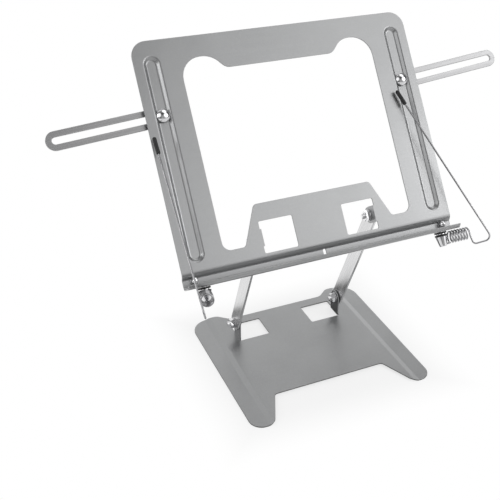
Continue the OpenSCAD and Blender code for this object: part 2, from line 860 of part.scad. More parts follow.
base_plate();
base_pivot_screws();
base_pivot_washers();
base_pivot_nuts();
left_leg();
right_leg();
back_plate();
top_pivot_screws();
top_pivot_washers();
top_pivot_nuts();
left_arm();
left_arm_rivet();
left_arm_washer();
right_arm();
right_arm_rivet();
right_arm_washer();
left_clip_rivet();
left_clip_pivot();
left_clip_rings();
left_clip_spring();
left_clip_wire();
left_clip_sleeve();
right_clip_rivet();
right_clip_pivot();
right_clip_rings();
right_clip_spring();
right_clip_wire();
right_clip_sleeve();
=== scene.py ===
import json
import math

import bmesh
import bpy
import numpy as np
from mathutils import Matrix, Vector


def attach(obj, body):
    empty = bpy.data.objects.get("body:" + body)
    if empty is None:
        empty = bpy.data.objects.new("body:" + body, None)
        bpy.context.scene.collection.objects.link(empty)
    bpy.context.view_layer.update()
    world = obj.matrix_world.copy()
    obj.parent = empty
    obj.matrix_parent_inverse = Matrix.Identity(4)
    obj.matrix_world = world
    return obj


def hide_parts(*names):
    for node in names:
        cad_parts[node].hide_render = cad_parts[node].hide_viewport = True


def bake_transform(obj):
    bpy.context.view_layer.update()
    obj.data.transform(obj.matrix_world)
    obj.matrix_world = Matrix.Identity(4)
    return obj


# folding book stand, painted sheet steel with bright legs, arms and wire clips
# metres, X right, Y back, Z up, the origin on the table under the base

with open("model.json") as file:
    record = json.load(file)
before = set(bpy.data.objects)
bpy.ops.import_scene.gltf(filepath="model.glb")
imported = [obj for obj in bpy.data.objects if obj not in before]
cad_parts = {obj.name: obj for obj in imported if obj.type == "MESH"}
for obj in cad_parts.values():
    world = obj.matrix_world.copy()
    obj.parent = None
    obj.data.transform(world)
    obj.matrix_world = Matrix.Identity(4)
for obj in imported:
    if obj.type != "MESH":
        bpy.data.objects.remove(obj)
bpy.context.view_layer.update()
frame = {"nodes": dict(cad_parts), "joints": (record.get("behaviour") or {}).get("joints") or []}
cadNodes = frame["nodes"]
mm = 0.001
cleanUp = {"gridMerge": 2e-7, "degenerate": 1e-7, "solidMerge": 1e-6, "flatAngle": 0.4}

joints = {joint["name"]: joint for joint in frame["joints"]}
sideNames = {-1: "left", 1: "right"}
print("frame loaded:", len(cadNodes), "nodes")


# helpers for numbers

def unit(v):
    v = np.asarray(v, float)
    return v / np.linalg.norm(v, axis=-1, keepdims=True)


def jointPlace(name):
    return np.array(joints[name]["pos_m"], float), unit(joints[name]["axis"])


def axesFrom(x, z):
    # right-handed axes as columns: x kept, y square to z and x
    x = unit(x)
    y = unit(np.cross(z, x))
    return np.stack([x, y, np.cross(x, y)], axis=1)


def placed(points, origin, axes):
    # local points carried into the row frame: origin plus the axes times the local numbers
    return np.asarray(origin) + np.asarray(points) @ np.asarray(axes).T


def roundedPath(corners, radii, steps):
    # straight lines between corners, with an arc of the given radius in each inner corner
    corners = np.asarray(corners, float)
    out = [corners[:1]]
    for a, b, c, r in zip(corners[:-2], corners[1:-1], corners[2:], radii):
        p, q = unit(a - b), unit(c - b)
        half = math.acos(np.clip(p @ q, -1, 1)) / 2
        mid = b + unit(p + q) * r / math.sin(half)  # middle of the arc
        start = b + p * r / math.tan(half) - mid
        end = b + q * r / math.tan(half) - mid
        side = unit(end - start * (end @ start) / r ** 2) * r
        t = np.linspace(0, math.pi - 2 * half, steps + 1)[:, None]
        out.append(mid + start * np.cos(t) + side * np.sin(t))
    out.append(corners[-1:])
    return np.concatenate(out)


def tubeGrid(path, toSide, radius, sides):
    # round tube: at each path point, radius times (side cos a + across sin a), side being square to the path
    path = np.asarray(path, float)
    along = unit(np.gradient(path, axis=0))
    side = unit(toSide - along * np.sum(toSide * along, axis=1, keepdims=True))
    across = np.cross(along, side)
    a = np.linspace(0, 2 * math.pi, sides, endpoint=False)
    ring = side[:, None] * np.cos(a)[None, :, None] + across[:, None] * np.sin(a)[None, :, None]
    return path[:, None] + ring * np.broadcast_to(radius, len(path))[:, None, None]


def latheGrid(profile, sides):
    # turned shape about z: each profile point (radius, height) goes round as (r cos a, r sin a, h)
    profile = np.asarray(profile, float)
    a = np.linspace(0, 2 * math.pi, sides, endpoint=False)
    r, h = profile[:, :1], profile[:, 1:]
    return np.stack([r * np.cos(a), r * np.sin(a), h + 0 * a], axis=2)


def arc(r, centre, start, end, steps):
    # points of an arc in the plane of a profile, angles in degrees
    a = np.radians(np.linspace(start, end, steps + 1))
    return np.stack([centre[0] + r * np.cos(a), centre[1] + r * np.sin(a)], axis=1)


def gridFaces(rows, cols, wrapRows):
    # quads between neighbouring rows and columns of a grid, columns always closed
    i = np.arange(rows if wrapRows else rows - 1)[:, None]
    j = np.arange(cols)[None, :]
    down, right = (i + 1) % rows, (j + 1) % cols
    quads = [i * cols + j, i * cols + right, down * cols + right, down * cols + j]
    return np.stack(quads, axis=2).reshape(-1, 4)


# helpers for pieces

def meshPiece(name, parts, sharpAngle=35):
    # parts: (points of a grid, rows closed into a loop, flat caps on the end rows)
    points, faces, caps, base = [], [], [], 0
    for grid, wrapRows, capped in parts:
        rows, cols = grid.shape[:2]
        points.append(grid.reshape(-1, 3))
        faces.append(gridFaces(rows, cols, wrapRows) + base)
        if capped:
            first = np.arange(cols)
            caps += [(base + first[::-1]).tolist(), (base + (rows - 1) * cols + first).tolist()]
        base += rows * cols
    mesh = bpy.data.meshes.new(name)
    mesh.from_pydata(np.concatenate(points).tolist(), [], np.concatenate(faces).tolist() + caps)
    closeAndSmooth(mesh, sharpAngle)
    piece = bpy.data.objects.new(name, mesh)
    bpy.context.scene.collection.objects.link(piece)
    return piece


def closeAndSmooth(mesh, sharpAngle):
    # poles and seams merged, faces turned outwards, smooth apart from sharp corners
    work = bmesh.new()
    work.from_mesh(mesh)
    bmesh.ops.remove_doubles(work, verts=work.verts, dist=cleanUp["gridMerge"])
    bmesh.ops.dissolve_degenerate(work, edges=work.edges, dist=cleanUp["degenerate"])
    bmesh.ops.recalc_face_normals(work, faces=work.faces)
    work.to_mesh(mesh)
    work.free()
    mesh.shade_smooth()
    mesh.set_sharp_from_angle(angle=math.radians(sharpAngle))


def fit(piece, body, finish, replaced):
    # a piece's finish and body (or none), and the node that it stands for
    piece.data.materials.clear()
    piece.data.materials.append(finish)
    if body:
        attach(piece, body)
    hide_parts(replaced)


# finishes

def sockets(tree, numbersIn, numbersOut):
    # a group's sockets: one vector and some numbers in, numbers out
    tree.interface.new_socket(name="Vector", in_out="INPUT", socket_type="NodeSocketVector")
    for way, names in (("INPUT", numbersIn), ("OUTPUT", numbersOut)):
        for name in names:
            tree.interface.new_socket(name=name, in_out=way, socket_type="NodeSocketFloat")


def fineGrainGroup():
    # cloudy tone, fine specks and a shallow relief, for paint, rubber and bright metal
    tree = bpy.data.node_groups.new("fineGrain", "ShaderNodeTree")
    details = {"Cloud": 4.0, "Speck": 1.0, "Relief": 2.0}
    sockets(tree, [label + " Scale" for label in details], details)
    nodes, link = tree.nodes, tree.links.new
    come, go = nodes.new("NodeGroupInput"), nodes.new("NodeGroupOutput")
    for label, detail in details.items():
        noise = nodes.new("ShaderNodeTexNoise")
        noise.inputs["Detail"].default_value = detail
        link(come.outputs["Vector"], noise.inputs["Vector"])
        link(come.outputs[label + " Scale"], noise.inputs["Scale"])
        link(noise.outputs["Fac"], go.inputs[label])
    return tree


def brushedGroup():
    # lines drawn out along the bar, and broad rubbed patches: noise on coordinates squeezed along one axis
    tree = bpy.data.node_groups.new("brushedLines", "ShaderNodeTree")
    sockets(tree, ["Line Scale"], ["Lines", "Rubs"])
    nodes, link = tree.nodes, tree.links.new
    come, go = nodes.new("NodeGroupInput"), nodes.new("NodeGroupOutput")
    lines, rubs = nodes.new("ShaderNodeTexNoise"), nodes.new("ShaderNodeTexNoise")
    lines.inputs["Detail"].default_value = 3.0
    rubs.inputs["Detail"].default_value = 2.0
    rubs.inputs["Scale"].default_value = 0.11
    link(come.outputs["Vector"], lines.inputs["Vector"])
    link(come.outputs["Line Scale"], lines.inputs["Scale"])
    link(come.outputs["Vector"], rubs.inputs["Vector"])
    link(lines.outputs["Fac"], go.inputs["Lines"])
    link(rubs.outputs["Fac"], go.inputs["Rubs"])
    return tree


grainGroup = fineGrainGroup()
brushGroup = brushedGroup()


class Finish:
    # one material with its Principled shader, and short ways to add nodes to it
    def __init__(self, name, **values):
        self.material = bpy.data.materials.new(name)
        self.material.use_nodes = True
        tree = self.material.node_tree
        self.nodes, self.link = tree.nodes, tree.links.new
        self.shader = self.nodes["Principled BSDF"]
        for key, value in values.items():
            self.shader.inputs[key.replace("_", " ")].default_value = value
        self.place = self.nodes.new("ShaderNodeTexCoord").outputs["Object"]

    def group(self, tree, vector, **values):
        node = self.nodes.new("ShaderNodeGroup")
        node.node_tree = tree
        self.link(vector, node.inputs["Vector"])
        for key, value in values.items():
            node.inputs[key.replace("_", " ")].default_value = value
        return node

    def turned(self, axes, scale):
        # coordinates along a piece's own axes, divided by scale
        node = self.nodes.new("ShaderNodeMapping")
        node.vector_type = "TEXTURE"
        node.inputs["Rotation"].default_value = Matrix(np.asarray(axes).tolist()).to_euler()
        node.inputs["Scale"].default_value = scale
        self.link(self.place, node.inputs["Vector"])
        return node.outputs["Vector"]

    def span(self, value, low, high, start=0.3, end=0.7):
        # value from start to end becomes low to high
        node = self.nodes.new("ShaderNodeMapRange")
        self.link(value, node.inputs["Value"])
        for key, number in (("From Min", start), ("From Max", end), ("To Min", low), ("To Max", high)):
            node.inputs[key].default_value = number
        return node.outputs["Result"]

    def mix(self, share, a, b):
        # colour a to colour b by share; either may be a colour or another node's output
        node = self.nodes.new("ShaderNodeMix")
        node.data_type = "RGBA"
        self.link(share, node.inputs["Factor"])
        for key, value in (("A", a), ("B", b)):
            target = [s for s in node.inputs if s.name == key and s.type == "RGBA"][0]
            if isinstance(value, (tuple, list)):
                target.default_value = (*value, 1.0)
            else:
                self.link(value, target)
        return [s for s in node.outputs if s.type == "RGBA"][0]

    def bump(self, height, strength, distance):
        # relief by a share of a depth in metres
        node = self.nodes.new("ShaderNodeBump")
        node.inputs["Strength"].default_value = strength
        node.inputs["Distance"].default_value = distance
        self.link(height, node.inputs["Height"])
        self.link(node.outputs["Normal"], self.shader.inputs["Normal"])

    def to(self, output, name):
        self.link(output, self.shader.inputs[name])


def paintFinish():
    # satin grey: cloudy tone, faint long streaks and fine metal flecks
    look = {"dark": (0.337, 0.341, 0.345), "light": (0.383, 0.387, 0.391), "fleck": (0.5, 0.505, 0.51),
            "streak": (0.05, 0.0011, 0.0011), "streakShare": 0.3, "fleckShare": 0.45,
            "fleckSpan": (0.5, 0.72), "rough": (0.29, 0.34), "relief": (0.04, 0.00012)}
    paint = Finish("satinGreyPaint", Metallic=0.8, Coat_Weight=0.2, Coat_Roughness=0.16)
    grain = paint.group(grainGroup, paint.place, Cloud_Scale=26.0, Speck_Scale=3600.0, Relief_Scale=1100.0)
    lines = paint.group(brushGroup, paint.turned(np.eye(3), look["streak"]), Line_Scale=1.0)
    cloudy = paint.mix(paint.span(grain.outputs["Cloud"], 0.0, 1.0), look["dark"], look["light"])
    tone = paint.mix(paint.span(lines.outputs["Lines"], 0.0, look["streakShare"]), cloudy, look["light"])
    flecks = paint.span(grain.outputs["Speck"], 0.0, look["fleckShare"], *look["fleckSpan"])
    paint.to(paint.mix(flecks, tone, look["fleck"]), "Base Color")
    paint.to(paint.span(grain.outputs["Cloud"], *look["rough"]), "Roughness")
    paint.bump(grain.outputs["Relief"], *look["relief"])
    return paint.material


def barFinish(name, axes, dark, light, rough):
    # brushed along the bar's own x
    look = {"streak": (0.03, 0.0004, 0.0004), "relief": (0.12, 0.00004)}
    steel = Finish(name, Metallic=1.0)
    lines = steel.group(brushGroup, steel.turned(axes, look["streak"]), Line_Scale=1.0)
    steel.to(steel.mix(steel.span(lines.outputs["Lines"], 0.0, 1.0), dark, light), "Base Color")
    steel.to(steel.span(lines.outputs["Rubs"], *rough), "Roughness")
    steel.bump(lines.outputs["Lines"], *look["relief"])
    return steel.material


def turnedFinish(name, dark, light, rough):
    # bright metal with a faint cloudy tone
    relief = (0.05, 0.00002)
    bright = Finish(name, Metallic=1.0)
    grain = bright.group(grainGroup, bright.place, Cloud_Scale=160.0, Speck_Scale=5200.0, Relief_Scale=2400.0)
    bright.to(bright.mix(bright.span(grain.outputs["Cloud"], 0.0, 1.0), dark, light), "Base Color")
    bright.to(bright.span(grain.outputs["Speck"], *rough), "Roughness")
    bright.bump(grain.outputs["Relief"], *relief)
    return bright.material


def rubberFinish():
    # soft black with a fine grain
    look = {"dark": (0.011, 0.011, 0.012), "light": (0.026, 0.026, 0.027), "rough": (0.38, 0.55),
            "relief": (0.1, 0.00003)}
    rubber = Finish("blackRubber", Specular_IOR_Level=0.45)
    grain = rubber.group(grainGroup, rubber.place, Cloud_Scale=240.0, Speck_Scale=6000.0, Relief_Scale=3000.0)
    cloudy = rubber.mix(rubber.span(grain.outputs["Cloud"], 0.0, 1.0), look["dark"], look["light"])
    rubber.to(cloudy, "Base Color")
    rubber.to(rubber.span(grain.outputs["Speck"], *look["rough"]), "Roughness")
    rubber.bump(grain.outputs["Relief"], *look["relief"])
    return rubber.material


paint = paintFinish()
chrome = turnedFinish("brightChrome", (0.78, 0.78, 0.795), (0.93, 0.93, 0.94), (0.025, 0.07))
zinc = turnedFinish("platedSteel", (0.56, 0.56, 0.57), (0.74, 0.74, 0.75), (0.2, 0.32))
springWire = turnedFinish("springWire", (0.36, 0.36, 0.37), (0.5, 0.5, 0.51), (0.03, 0.08))
rubber = rubberFinish()
print("finishes ready")


# sheet pieces and flat bars: copies of the solids with rounded edges

def dressed(node, edge, segments=2, shoulder=None, sharpAngle=28):
    # the solid's triangles merged into faces, then its sharp edges rounded by a bevel
    mesh = cadNodes[node].data.copy()
    mesh.name = node + "Body"
    work = bmesh.new()
    work.from_mesh(mesh)
    bmesh.ops.remove_doubles(work, verts=work.verts, dist=cleanUp["solidMerge"])
    flatAngle = math.radians(cleanUp["flatAngle"])
    bmesh.ops.dissolve_limit(work, angle_limit=flatAngle, verts=work.verts, edges=work.edges)
    work.to_mesh(mesh)
    work.free()
    piece = bpy.data.objects.new(node + "Body", mesh)
    bpy.context.scene.collection.objects.link(piece)
    if shoulder:
        weighEdges(mesh, edge, shoulder, sharpAngle)
    mesh.shade_smooth()
    mesh.set_sharp_from_angle(angle=math.radians(sharpAngle))
    bevel = piece.modifiers.new("edges", "BEVEL")
    bevel.width = shoulder["width"] if shoulder else edge
    bevel.segments = segments
    bevel.use_clamp_overlap = False
    bevel.loop_slide = False  # else a corner can slide along a large face's inner edge
    bevel.limit_method = "WEIGHT" if shoulder else "ANGLE"
    bevel.angle_limit = math.radians(sharpAngle)
    flat = piece.modifiers.new("flatFaces", "WEIGHTED_NORMAL")  # large faces keep their own direction
    flat.mode = "FACE_AREA"
    flat.weight = 100
    flat.keep_sharp = True
    return piece


def weighEdges(mesh, edge, shoulder, sharpAngle):
    # bevel weights: full on the edges that the shoulder's test picks, the edge's share on other sharp edges
    work = bmesh.new()
    work.from_mesh(mesh)
    work.edges.ensure_lookup_table()
    angle = np.array([e.calc_face_angle(0.0) for e in work.edges])
    middle = np.array([(e.verts[0].co + e.verts[1].co) / 2 for e in work.edges])
    work.free()
    weight = np.where(angle > math.radians(sharpAngle), edge / shoulder["width"], 0.0)
    weight[shoulder["picks"](middle) & (angle > math.radians(sharpAngle))] = 1.0
    layer = mesh.attributes.new("bevel_weight_edge", "FLOAT", "EDGE")
    layer.data.foreach_set("value", weight.astype(np.float32))


plate = {"edge": 0.16 * mm, "baseEdge": 0.14 * mm, "shoulder": 0.7 * mm, "rivetUp": 108.5 * mm,
         "beadMiddles": (13.8 * mm, 143.5 * mm), "rimNear": 0.12 * mm,
         "beadRims": ((0, 5.5 * mm), (2 * mm, 3.5 * mm), (1 * mm, 5.914 * mm), (3 * mm, 3.914 * mm))}
plateUp = jointPlace("right_clip_swivel")[1]
plateLean = math.atan2(plateUp[1], plateUp[2])
plateBack = unit(np.cross(plateUp, [1, 0, 0]))
plateFront = -plateBack
rivetPlace = {s: jointPlace(sideNames[s] + "_arm_swing")[0] for s in (-1, 1)}
# middle of the lower bend on the front face
bendPlace = np.array([0, *(rivetPlace[1] - plate["rivetUp"] * plateUp)[1:]])
plateAxes = np.stack([np.array([1.0, 0, 0]), plateBack, plateUp], axis=1)


def onBeadEdge(points):
    # rims and floor edges of the beads, in front and behind: depth and distance from the bead's middle line
    local = (points - bendPlace) @ plateAxes
    beadX, (low, high) = rivetPlace[1][0], plate["beadMiddles"]
    across = np.hypot(np.abs(local[:, 0]) - beadX, local[:, 2] - np.clip(local[:, 2], low, high))
    away = [np.maximum(np.abs(local[:, 1] - depth), np.abs(across - half))
            for depth, half in plate["beadRims"]]
    return np.min(away, axis=0) < plate["rimNear"]


backPlate = dressed("back_plate", plate["edge"], 4, {"width": plate["shoulder"], "picks": onBeadEdge})
fit(backPlate, "plate", paint, "back_plate")
basePlate = dressed("base_plate", plate["baseEdge"], 3)
fit(basePlate, "base", paint, "base_plate")
print("plate and base ready")

# leg and arm: dark and light colour, range of roughness
bars = {"edge": 0.22 * mm,
        "leg": ((0.64, 0.64, 0.645), (0.82, 0.82, 0.825), (0.2, 0.32)),
        "arm": ((0.37, 0.37, 0.375), (0.47, 0.47, 0.475), (0.36, 0.44))}
basePivot = np.array([0, *joints["left_leg_pivot"]["pos_m"][1:]])
topPivot = np.array([0, *joints["plate_tilt"]["pos_m"][1:]])
legUp = unit(topPivot - basePivot)
legAxes = np.stack([legUp, [1, 0, 0], np.cross(legUp, [1, 0, 0])], axis=1)
legSteel = barFinish("brushedLegSteel", legAxes, *bars["leg"])
for s in (-1, 1):
    side = sideNames[s]
    fit(dressed(side + "_leg", bars["edge"]), side + "_leg", legSteel, side + "_leg")
    barDir = unit(joints[side + "_arm_slide"]["axis"])
    armAxes = np.stack([barDir, plateBack, np.cross(barDir, plateBack)], axis=1)
    armSteel = barFinish(side + "ArmSteel", armAxes, *bars["arm"])
    fit(dressed(side + "_arm", bars["edge"]), side + "_arm", armSteel, side + "_arm")
print("legs and arms ready")


# pivot screws, washers and nuts, along X

# spins: how far the left and the right slot and nut are turned, in radians
pivot = {"screwD": 4 * mm, "screwSides": 40, "spins": (0.7, 2.1), "headD": 7.6 * mm, "headH": 2.6 * mm,
         "headRim": 0.3, "slotW": 1.1 * mm, "slotDeep": 1.2 * mm, "slotSoft": 0.12 * mm,
         "slotEdge": 0.3 * mm, "slotRim": 0.6, "shankLap": 0.2 * mm, "end": 2.2 * mm,
         "threadPitch": 0.7 * mm, "threadDeep": 0.32 * mm, "threadRows": 10, "tipIn": 0.55 * mm,
         "tipSlope": 1.1, "nutAf": 7 * mm, "nutH": 3.2 * mm, "nutFit": 0.02 * mm, "nutSink": 0.3 * mm,
         "nutCone": 0.47, "nutConeAngle": 30, "nutSides": 96,
         "nutRows": (0, 0.012, 0.04, 0.08, 0.13, 0.2, 0.5, 0.8, 0.87, 0.92, 0.96, 0.988, 1),
         "washerT": 0.8 * mm, "washerD": 8.6 * mm, "washerSoft": 0.15 * mm, "washerClear": 0.06 * mm,
         "tabX": 44.6 * mm, "sheetT": 1 * mm, "legOut": 46.8 * mm}


def screwHead():
    # dome on a short rim, cut by a slot: sections across the slot, each a chord of the disc from edge to edge
    r, h, half, soft = pivot["headD"] / 2, pivot["headH"], pivot["slotW"] / 2, pivot["slotSoft"]
    rim = pivot["headRim"] * h
    ball = (r * r + (h - rim) ** 2) / (2 * (h - rim))
    outer = r * np.sin(np.linspace(-math.pi / 2, 0, 15))
    outer = outer[outer < -half - soft]
    left = np.concatenate([outer, [-half - soft, -half - soft * 0.3, -half, -half, -half + soft]])
    # depth of the cut: a share of it on the slot's soft edge, 1 in the slot
    cut = np.concatenate([np.zeros(len(outer) + 1), [0.05, 0.25, 1.0, 1.0]])
    x = np.concatenate([left, -left[::-1]])
    depth = np.concatenate([cut, cut[::-1]])
    chord = np.sqrt(np.maximum(r * r - x * x, 0))
    v = np.sin(np.linspace(-math.pi / 2, math.pi / 2, 21))
    y = chord[:, None] * v[None, :]
    dome = h - ball + np.sqrt(np.maximum(ball * ball - x[:, None] ** 2 - y * y, 0))
    floor = h - pivot["slotDeep"]
    top = np.where(depth[:, None] >= 1, np.minimum(dome, floor), dome - depth[:, None] * pivot["slotEdge"])
    side = np.stack([x[:, None] + 0 * y, y, np.maximum(top, rim * pivot["slotRim"])], axis=2)
    low = np.stack([x, -chord, 0 * x], axis=1)[:, None]
    lowFar = np.stack([x, chord, 0 * x], axis=1)[:, None]
    return np.concatenate([low, side, lowFar], axis=1)


def threadGrid(length):
    # thread: radius less a triangle wave of height minus turn, with a coned tip at the end
    rows = int(length / pivot["threadPitch"] * pivot["threadRows"]) + 1
    a = np.linspace(0, 2 * math.pi, pivot["screwSides"], endpoint=False)
    z = np.linspace(0, length, rows)[:, None]
    wave = np.abs(2 * np.mod(z / pivot["threadPitch"] - a / (2 * math.pi), 1) - 1)
    r = pivot["screwD"] / 2 - pivot["threadDeep"] * wave
    r = np.minimum(r, pivot["screwD"] / 2 - pivot["tipIn"] + (length - z) * pivot["tipSlope"])
    return np.stack([r * np.cos(a), r * np.sin(a), z + 0 * a], axis=2)


def nutGrid():
    # hexagon with coned corners: radius is the least of the hexagon's and the cone's at each height
    af, h, sink = pivot["nutAf"], pivot["nutH"], pivot["nutSink"]
    bore = pivot["screwD"] / 2 - pivot["nutFit"]
    a = np.linspace(0, 2 * math.pi, pivot["nutSides"], endpoint=False)
    hexagon = af / 2 / np.cos(np.mod(a, math.pi / 3) - math.pi / 6)
    z = h * np.array(pivot["nutRows"])[:, None]
    cone = pivot["nutCone"] * af + np.minimum(z, h - z) / math.tan(math.radians(pivot["nutConeAngle"]))
    outer = np.minimum(hexagon, cone)
    wall = np.stack([outer * np.cos(a), outer * np.sin(a), z + 0 * a], axis=2)
    hole = [[bore + sink, h], [bore, h - sink], [bore, sink], [bore + sink, 0]]
    inside = latheGrid(hole, pivot["nutSides"])
    return np.concatenate([wall, inside])


def ringGrid(inner, outer, thick, soft, sides=64):
    # flat ring with rounded rims: a rounded rectangle turned about z, closed into a loop
    chamfer = soft / 2
    profile = np.concatenate([
        arc(soft, (outer - soft, soft), -90, 0, 4), arc(soft, (outer - soft, thick - soft), 0, 90, 4),
        [[inner + chamfer, thick], [inner, thick - chamfer], [inner, chamfer], [inner + chamfer, 0]]])
    return latheGrid(profile, sides)


alongX = np.array([[0, 0, 1.0], [0, 1, 0], [-1, 0, 0]])  # local z along X
backX = np.array([[0, 0, -1.0], [0, 1, 0], [1, 0, 0]])   # local z against X


def pivotSet(name, at, tilt, body):
    # left and right screw, washer and nut of one pivot line, turned with what carries them
    turn = np.array(Matrix.Rotation(tilt, 3, "X"))
    heads, shanks, washers, nuts = [], [], [], []
    threadL = pivot["nutH"] + pivot["end"]
    screwR, washerR = pivot["screwD"] / 2, pivot["washerD"] / 2
    washer = ringGrid(screwR + pivot["washerClear"], washerR, pivot["washerT"], pivot["washerSoft"])

    def put(grid, x, axes):
        return placed(placed(grid, (x, 0, 0), axes), at, turn)

    for s, spin in zip((-1, 1), pivot["spins"]):
        face = pivot["legOut"] if s > 0 else pivot["sheetT"] - pivot["tabX"]
        nutFace = pivot["tabX"] - pivot["sheetT"] if s > 0 else -pivot["legOut"]
        spun = np.array(Matrix.Rotation(spin, 3, "Z"))
        heads.append((put(screwHead(), face, alongX @ spun), False, False))
        shankL = face - nutFace + pivot["washerT"] + pivot["shankLap"]
        plain = latheGrid([[screwR, 0], [screwR, shankL]], pivot["screwSides"])
        shanks.append((put(plain, face, backX), False, True))
        shanks.append((put(threadGrid(threadL), nutFace - pivot["washerT"], backX), False, True))
        washers.append((put(washer, nutFace, backX), True, False))
        nuts.append((put(nutGrid(), nutFace - pivot["washerT"], backX @ spun), True, False))
    fit(meshPiece(name + "Screws", heads + shanks, 30), body, chrome, name + "_pivot_screws")
    fit(meshPiece(name + "Washers", washers), body, zinc, name + "_pivot_washers")
    fit(meshPiece(name + "Nuts", nuts, 25), body, chrome, name + "_pivot_nuts")


pivotSet("base", basePivot, 0.0, "base")
pivotSet("top", topPivot, -plateLean, "plate")
print("pivots ready")


# rivets of the page arms, along the plate's normal

armRivet = {"headD": 9.4 * mm, "headH": 2.6 * mm, "headRim": 0.25 * mm, "pinD": 4.68 * mm, "seat": 0.6 * mm,
            "armBack": 4.8 * mm, "washerGap": 0.2 * mm, "washerT": 0.8 * mm, "washerD": 9.6 * mm,
            "washerSoft": 0.15 * mm, "washerClear": 0.01 * mm, "tailH": 1.6 * mm, "tailD": 6.72 * mm,
            "tailRim": 0.3 * mm, "sides": 64}


def domeProfile(r, h, rim, low, steps):
    # from the rim up to the pole of a dome of radius r and height h above low
    rise = h - rim
    ball = (r * r + rise * rise) / (2 * rise)
    a = np.linspace(math.asin(min(1.0, r / ball)), 0, steps)
    return np.stack([ball * np.sin(a), low + rim + rise - ball + ball * np.cos(a)], axis=1)


outward = np.stack([np.array([1.0, 0, 0]), np.cross(plateFront, [1, 0, 0]), plateFront], axis=1)
headR, pinR, tailR = armRivet["headD"] / 2, armRivet["pinD"] / 2, armRivet["tailD"] / 2
# seat: height of the head's lower rim, tail: depth of the washer's back, both from the plate's front face
seat, tail = -armRivet["seat"], armRivet["armBack"] + armRivet["washerGap"] + armRivet["washerT"]
head = domeProfile(headR, armRivet["headH"], armRivet["headRim"], seat, 18)
end = domeProfile(tailR, armRivet["tailH"], armRivet["tailRim"], tail, 12) * [1, -1]
shank = [[tailR, -tail], [pinR, -tail], [pinR, seat], [headR, seat]]
rivetGrid = latheGrid(np.concatenate([end[::-1], shank, head]), armRivet["sides"])
washerGrid = ringGrid(pinR + armRivet["washerClear"], armRivet["washerD"] / 2, armRivet["washerT"],
                      armRivet["washerSoft"]) - [0, 0, tail]
for s in (-1, 1):
    side = sideNames[s]
    rivet = meshPiece(side + "ArmRivet", [(placed(rivetGrid, rivetPlace[s], outward), False, False)], 40)
    fit(rivet, side + "_arm_pivot", chrome, side + "_arm_rivet")
    washer = meshPiece(side + "ArmWasher", [(placed(washerGrid, rivetPlace[s], outward), True, False)])
    fit(washer, side + "_arm_pivot", zinc, side + "_arm_washer")
print("arm rivets ready")


# page clips: swivel pin with rubber rings, coil spring, wire arm, sleeve and a ball-headed rivet beside it

clip = {"flangeD": 9 * mm, "flangeT": 0.9 * mm, "flangeIn": 0.9 * mm, "pinD": 3.6 * mm, "headD": 4.8 * mm,
        "headH": 1.2 * mm, "headRim": 0.3 * mm, "tipD": 5.4 * mm, "bodyL": 7.6 * mm, "soft": 0.3 * mm,
        "ringT": 1.2 * mm, "ringGap": 0.15 * mm, "ringSoft": 0.2 * mm, "ledgeDrop": 8.7 * mm,
        "ledgeT": 1 * mm, "sides": 64}
ballRivet = {"d": 4.8 * mm, "gap": 0.15 * mm, "out": 4.5 * mm, "drop": 3.4 * mm, "stepBack": 2.9 * mm,
             "tailWide": 1.6, "tailH": 0.8 * mm, "tailRim": 0.15 * mm, "sides": 48}
spring = {"wireD": 1.3 * mm, "r": 4.1 * mm, "pitch": 2.18 * mm, "turns": 6.75, "start": 5.35 * mm,
          "bend": 1.6 * mm, "seat": 0.8 * mm, "stepsPerTurn": 40, "sides": 16,
          "blendIn": (0.7 * mm, 0.8 * mm)}
wire = {"lean": {-1: 3.0, 1: 0.0}, "run": {-1: 124.5 * mm, 1: 128.5 * mm}, "inward": {-1: 22.7, 1: 19.7},
        "drop": 8.9 * mm, "bowW": 14.6 * mm, "bowIn": 0.9, "bends": (1, 2, 3)}
sleeve = {"l": 10.8 * mm, "d": 2.8 * mm, "bore": 1.54 * mm, "rim": 0.3 * mm, "cap": 0.2 * mm, "sides": 40}
springEnd = spring["start"] + spring["pitch"] * spring["turns"]


def springPath(lean):
    # seated end, quarter bend, then a helix about x: (end - pitch a / turn, -r cos a, r sin a),
    # with a falling to -lean
    k = np.linspace(0, math.pi / 2, 9)
    r, bend = spring["r"], spring["bend"]
    quarter = np.stack([spring["start"] - bend + bend * np.sin(k), -bend * np.cos(k), 0 * k - r], axis=1)
    a = np.linspace(spring["turns"], -lean / 360, int(spring["turns"] * spring["stepsPerTurn"]))[1:]
    x = springEnd - spring["pitch"] * np.maximum(a, 0)
    turn = 2 * math.pi * a
    coil = np.stack([x, -r * np.cos(turn), r * np.sin(turn)], axis=1)
    down = np.array([0, math.sin(math.radians(lean)), -math.cos(math.radians(lean))])
    first, last = np.array([[spring["seat"], -bend, -r]]), coil[-1:] + down * spring["wireD"]
    return np.concatenate([first, quarter, coil, last])


def wirePath(s):
    # down from the spring's end, across the bow and up the straight run, in the plane y = -r of the spring
    d = spring["wireD"]
    bowIn = springEnd + wire["bowIn"] * d
    corner = np.array([bowIn + wire["bowW"], -wire["drop"] + d / 2])
    lean = math.radians(wire["inward"][s])
    tip = corner + wire["run"][s] * np.array([-math.sin(lean), math.cos(lean)])
    corners = [[springEnd, -d], [springEnd, -2 * d], [bowIn, -wire["drop"]], corner, tip]
    flat = roundedPath(corners, [n * d for n in wire["bends"]], 14)
    return np.stack([flat[:, 0], np.full(len(flat), -spring["r"]), flat[:, 1]], axis=1)


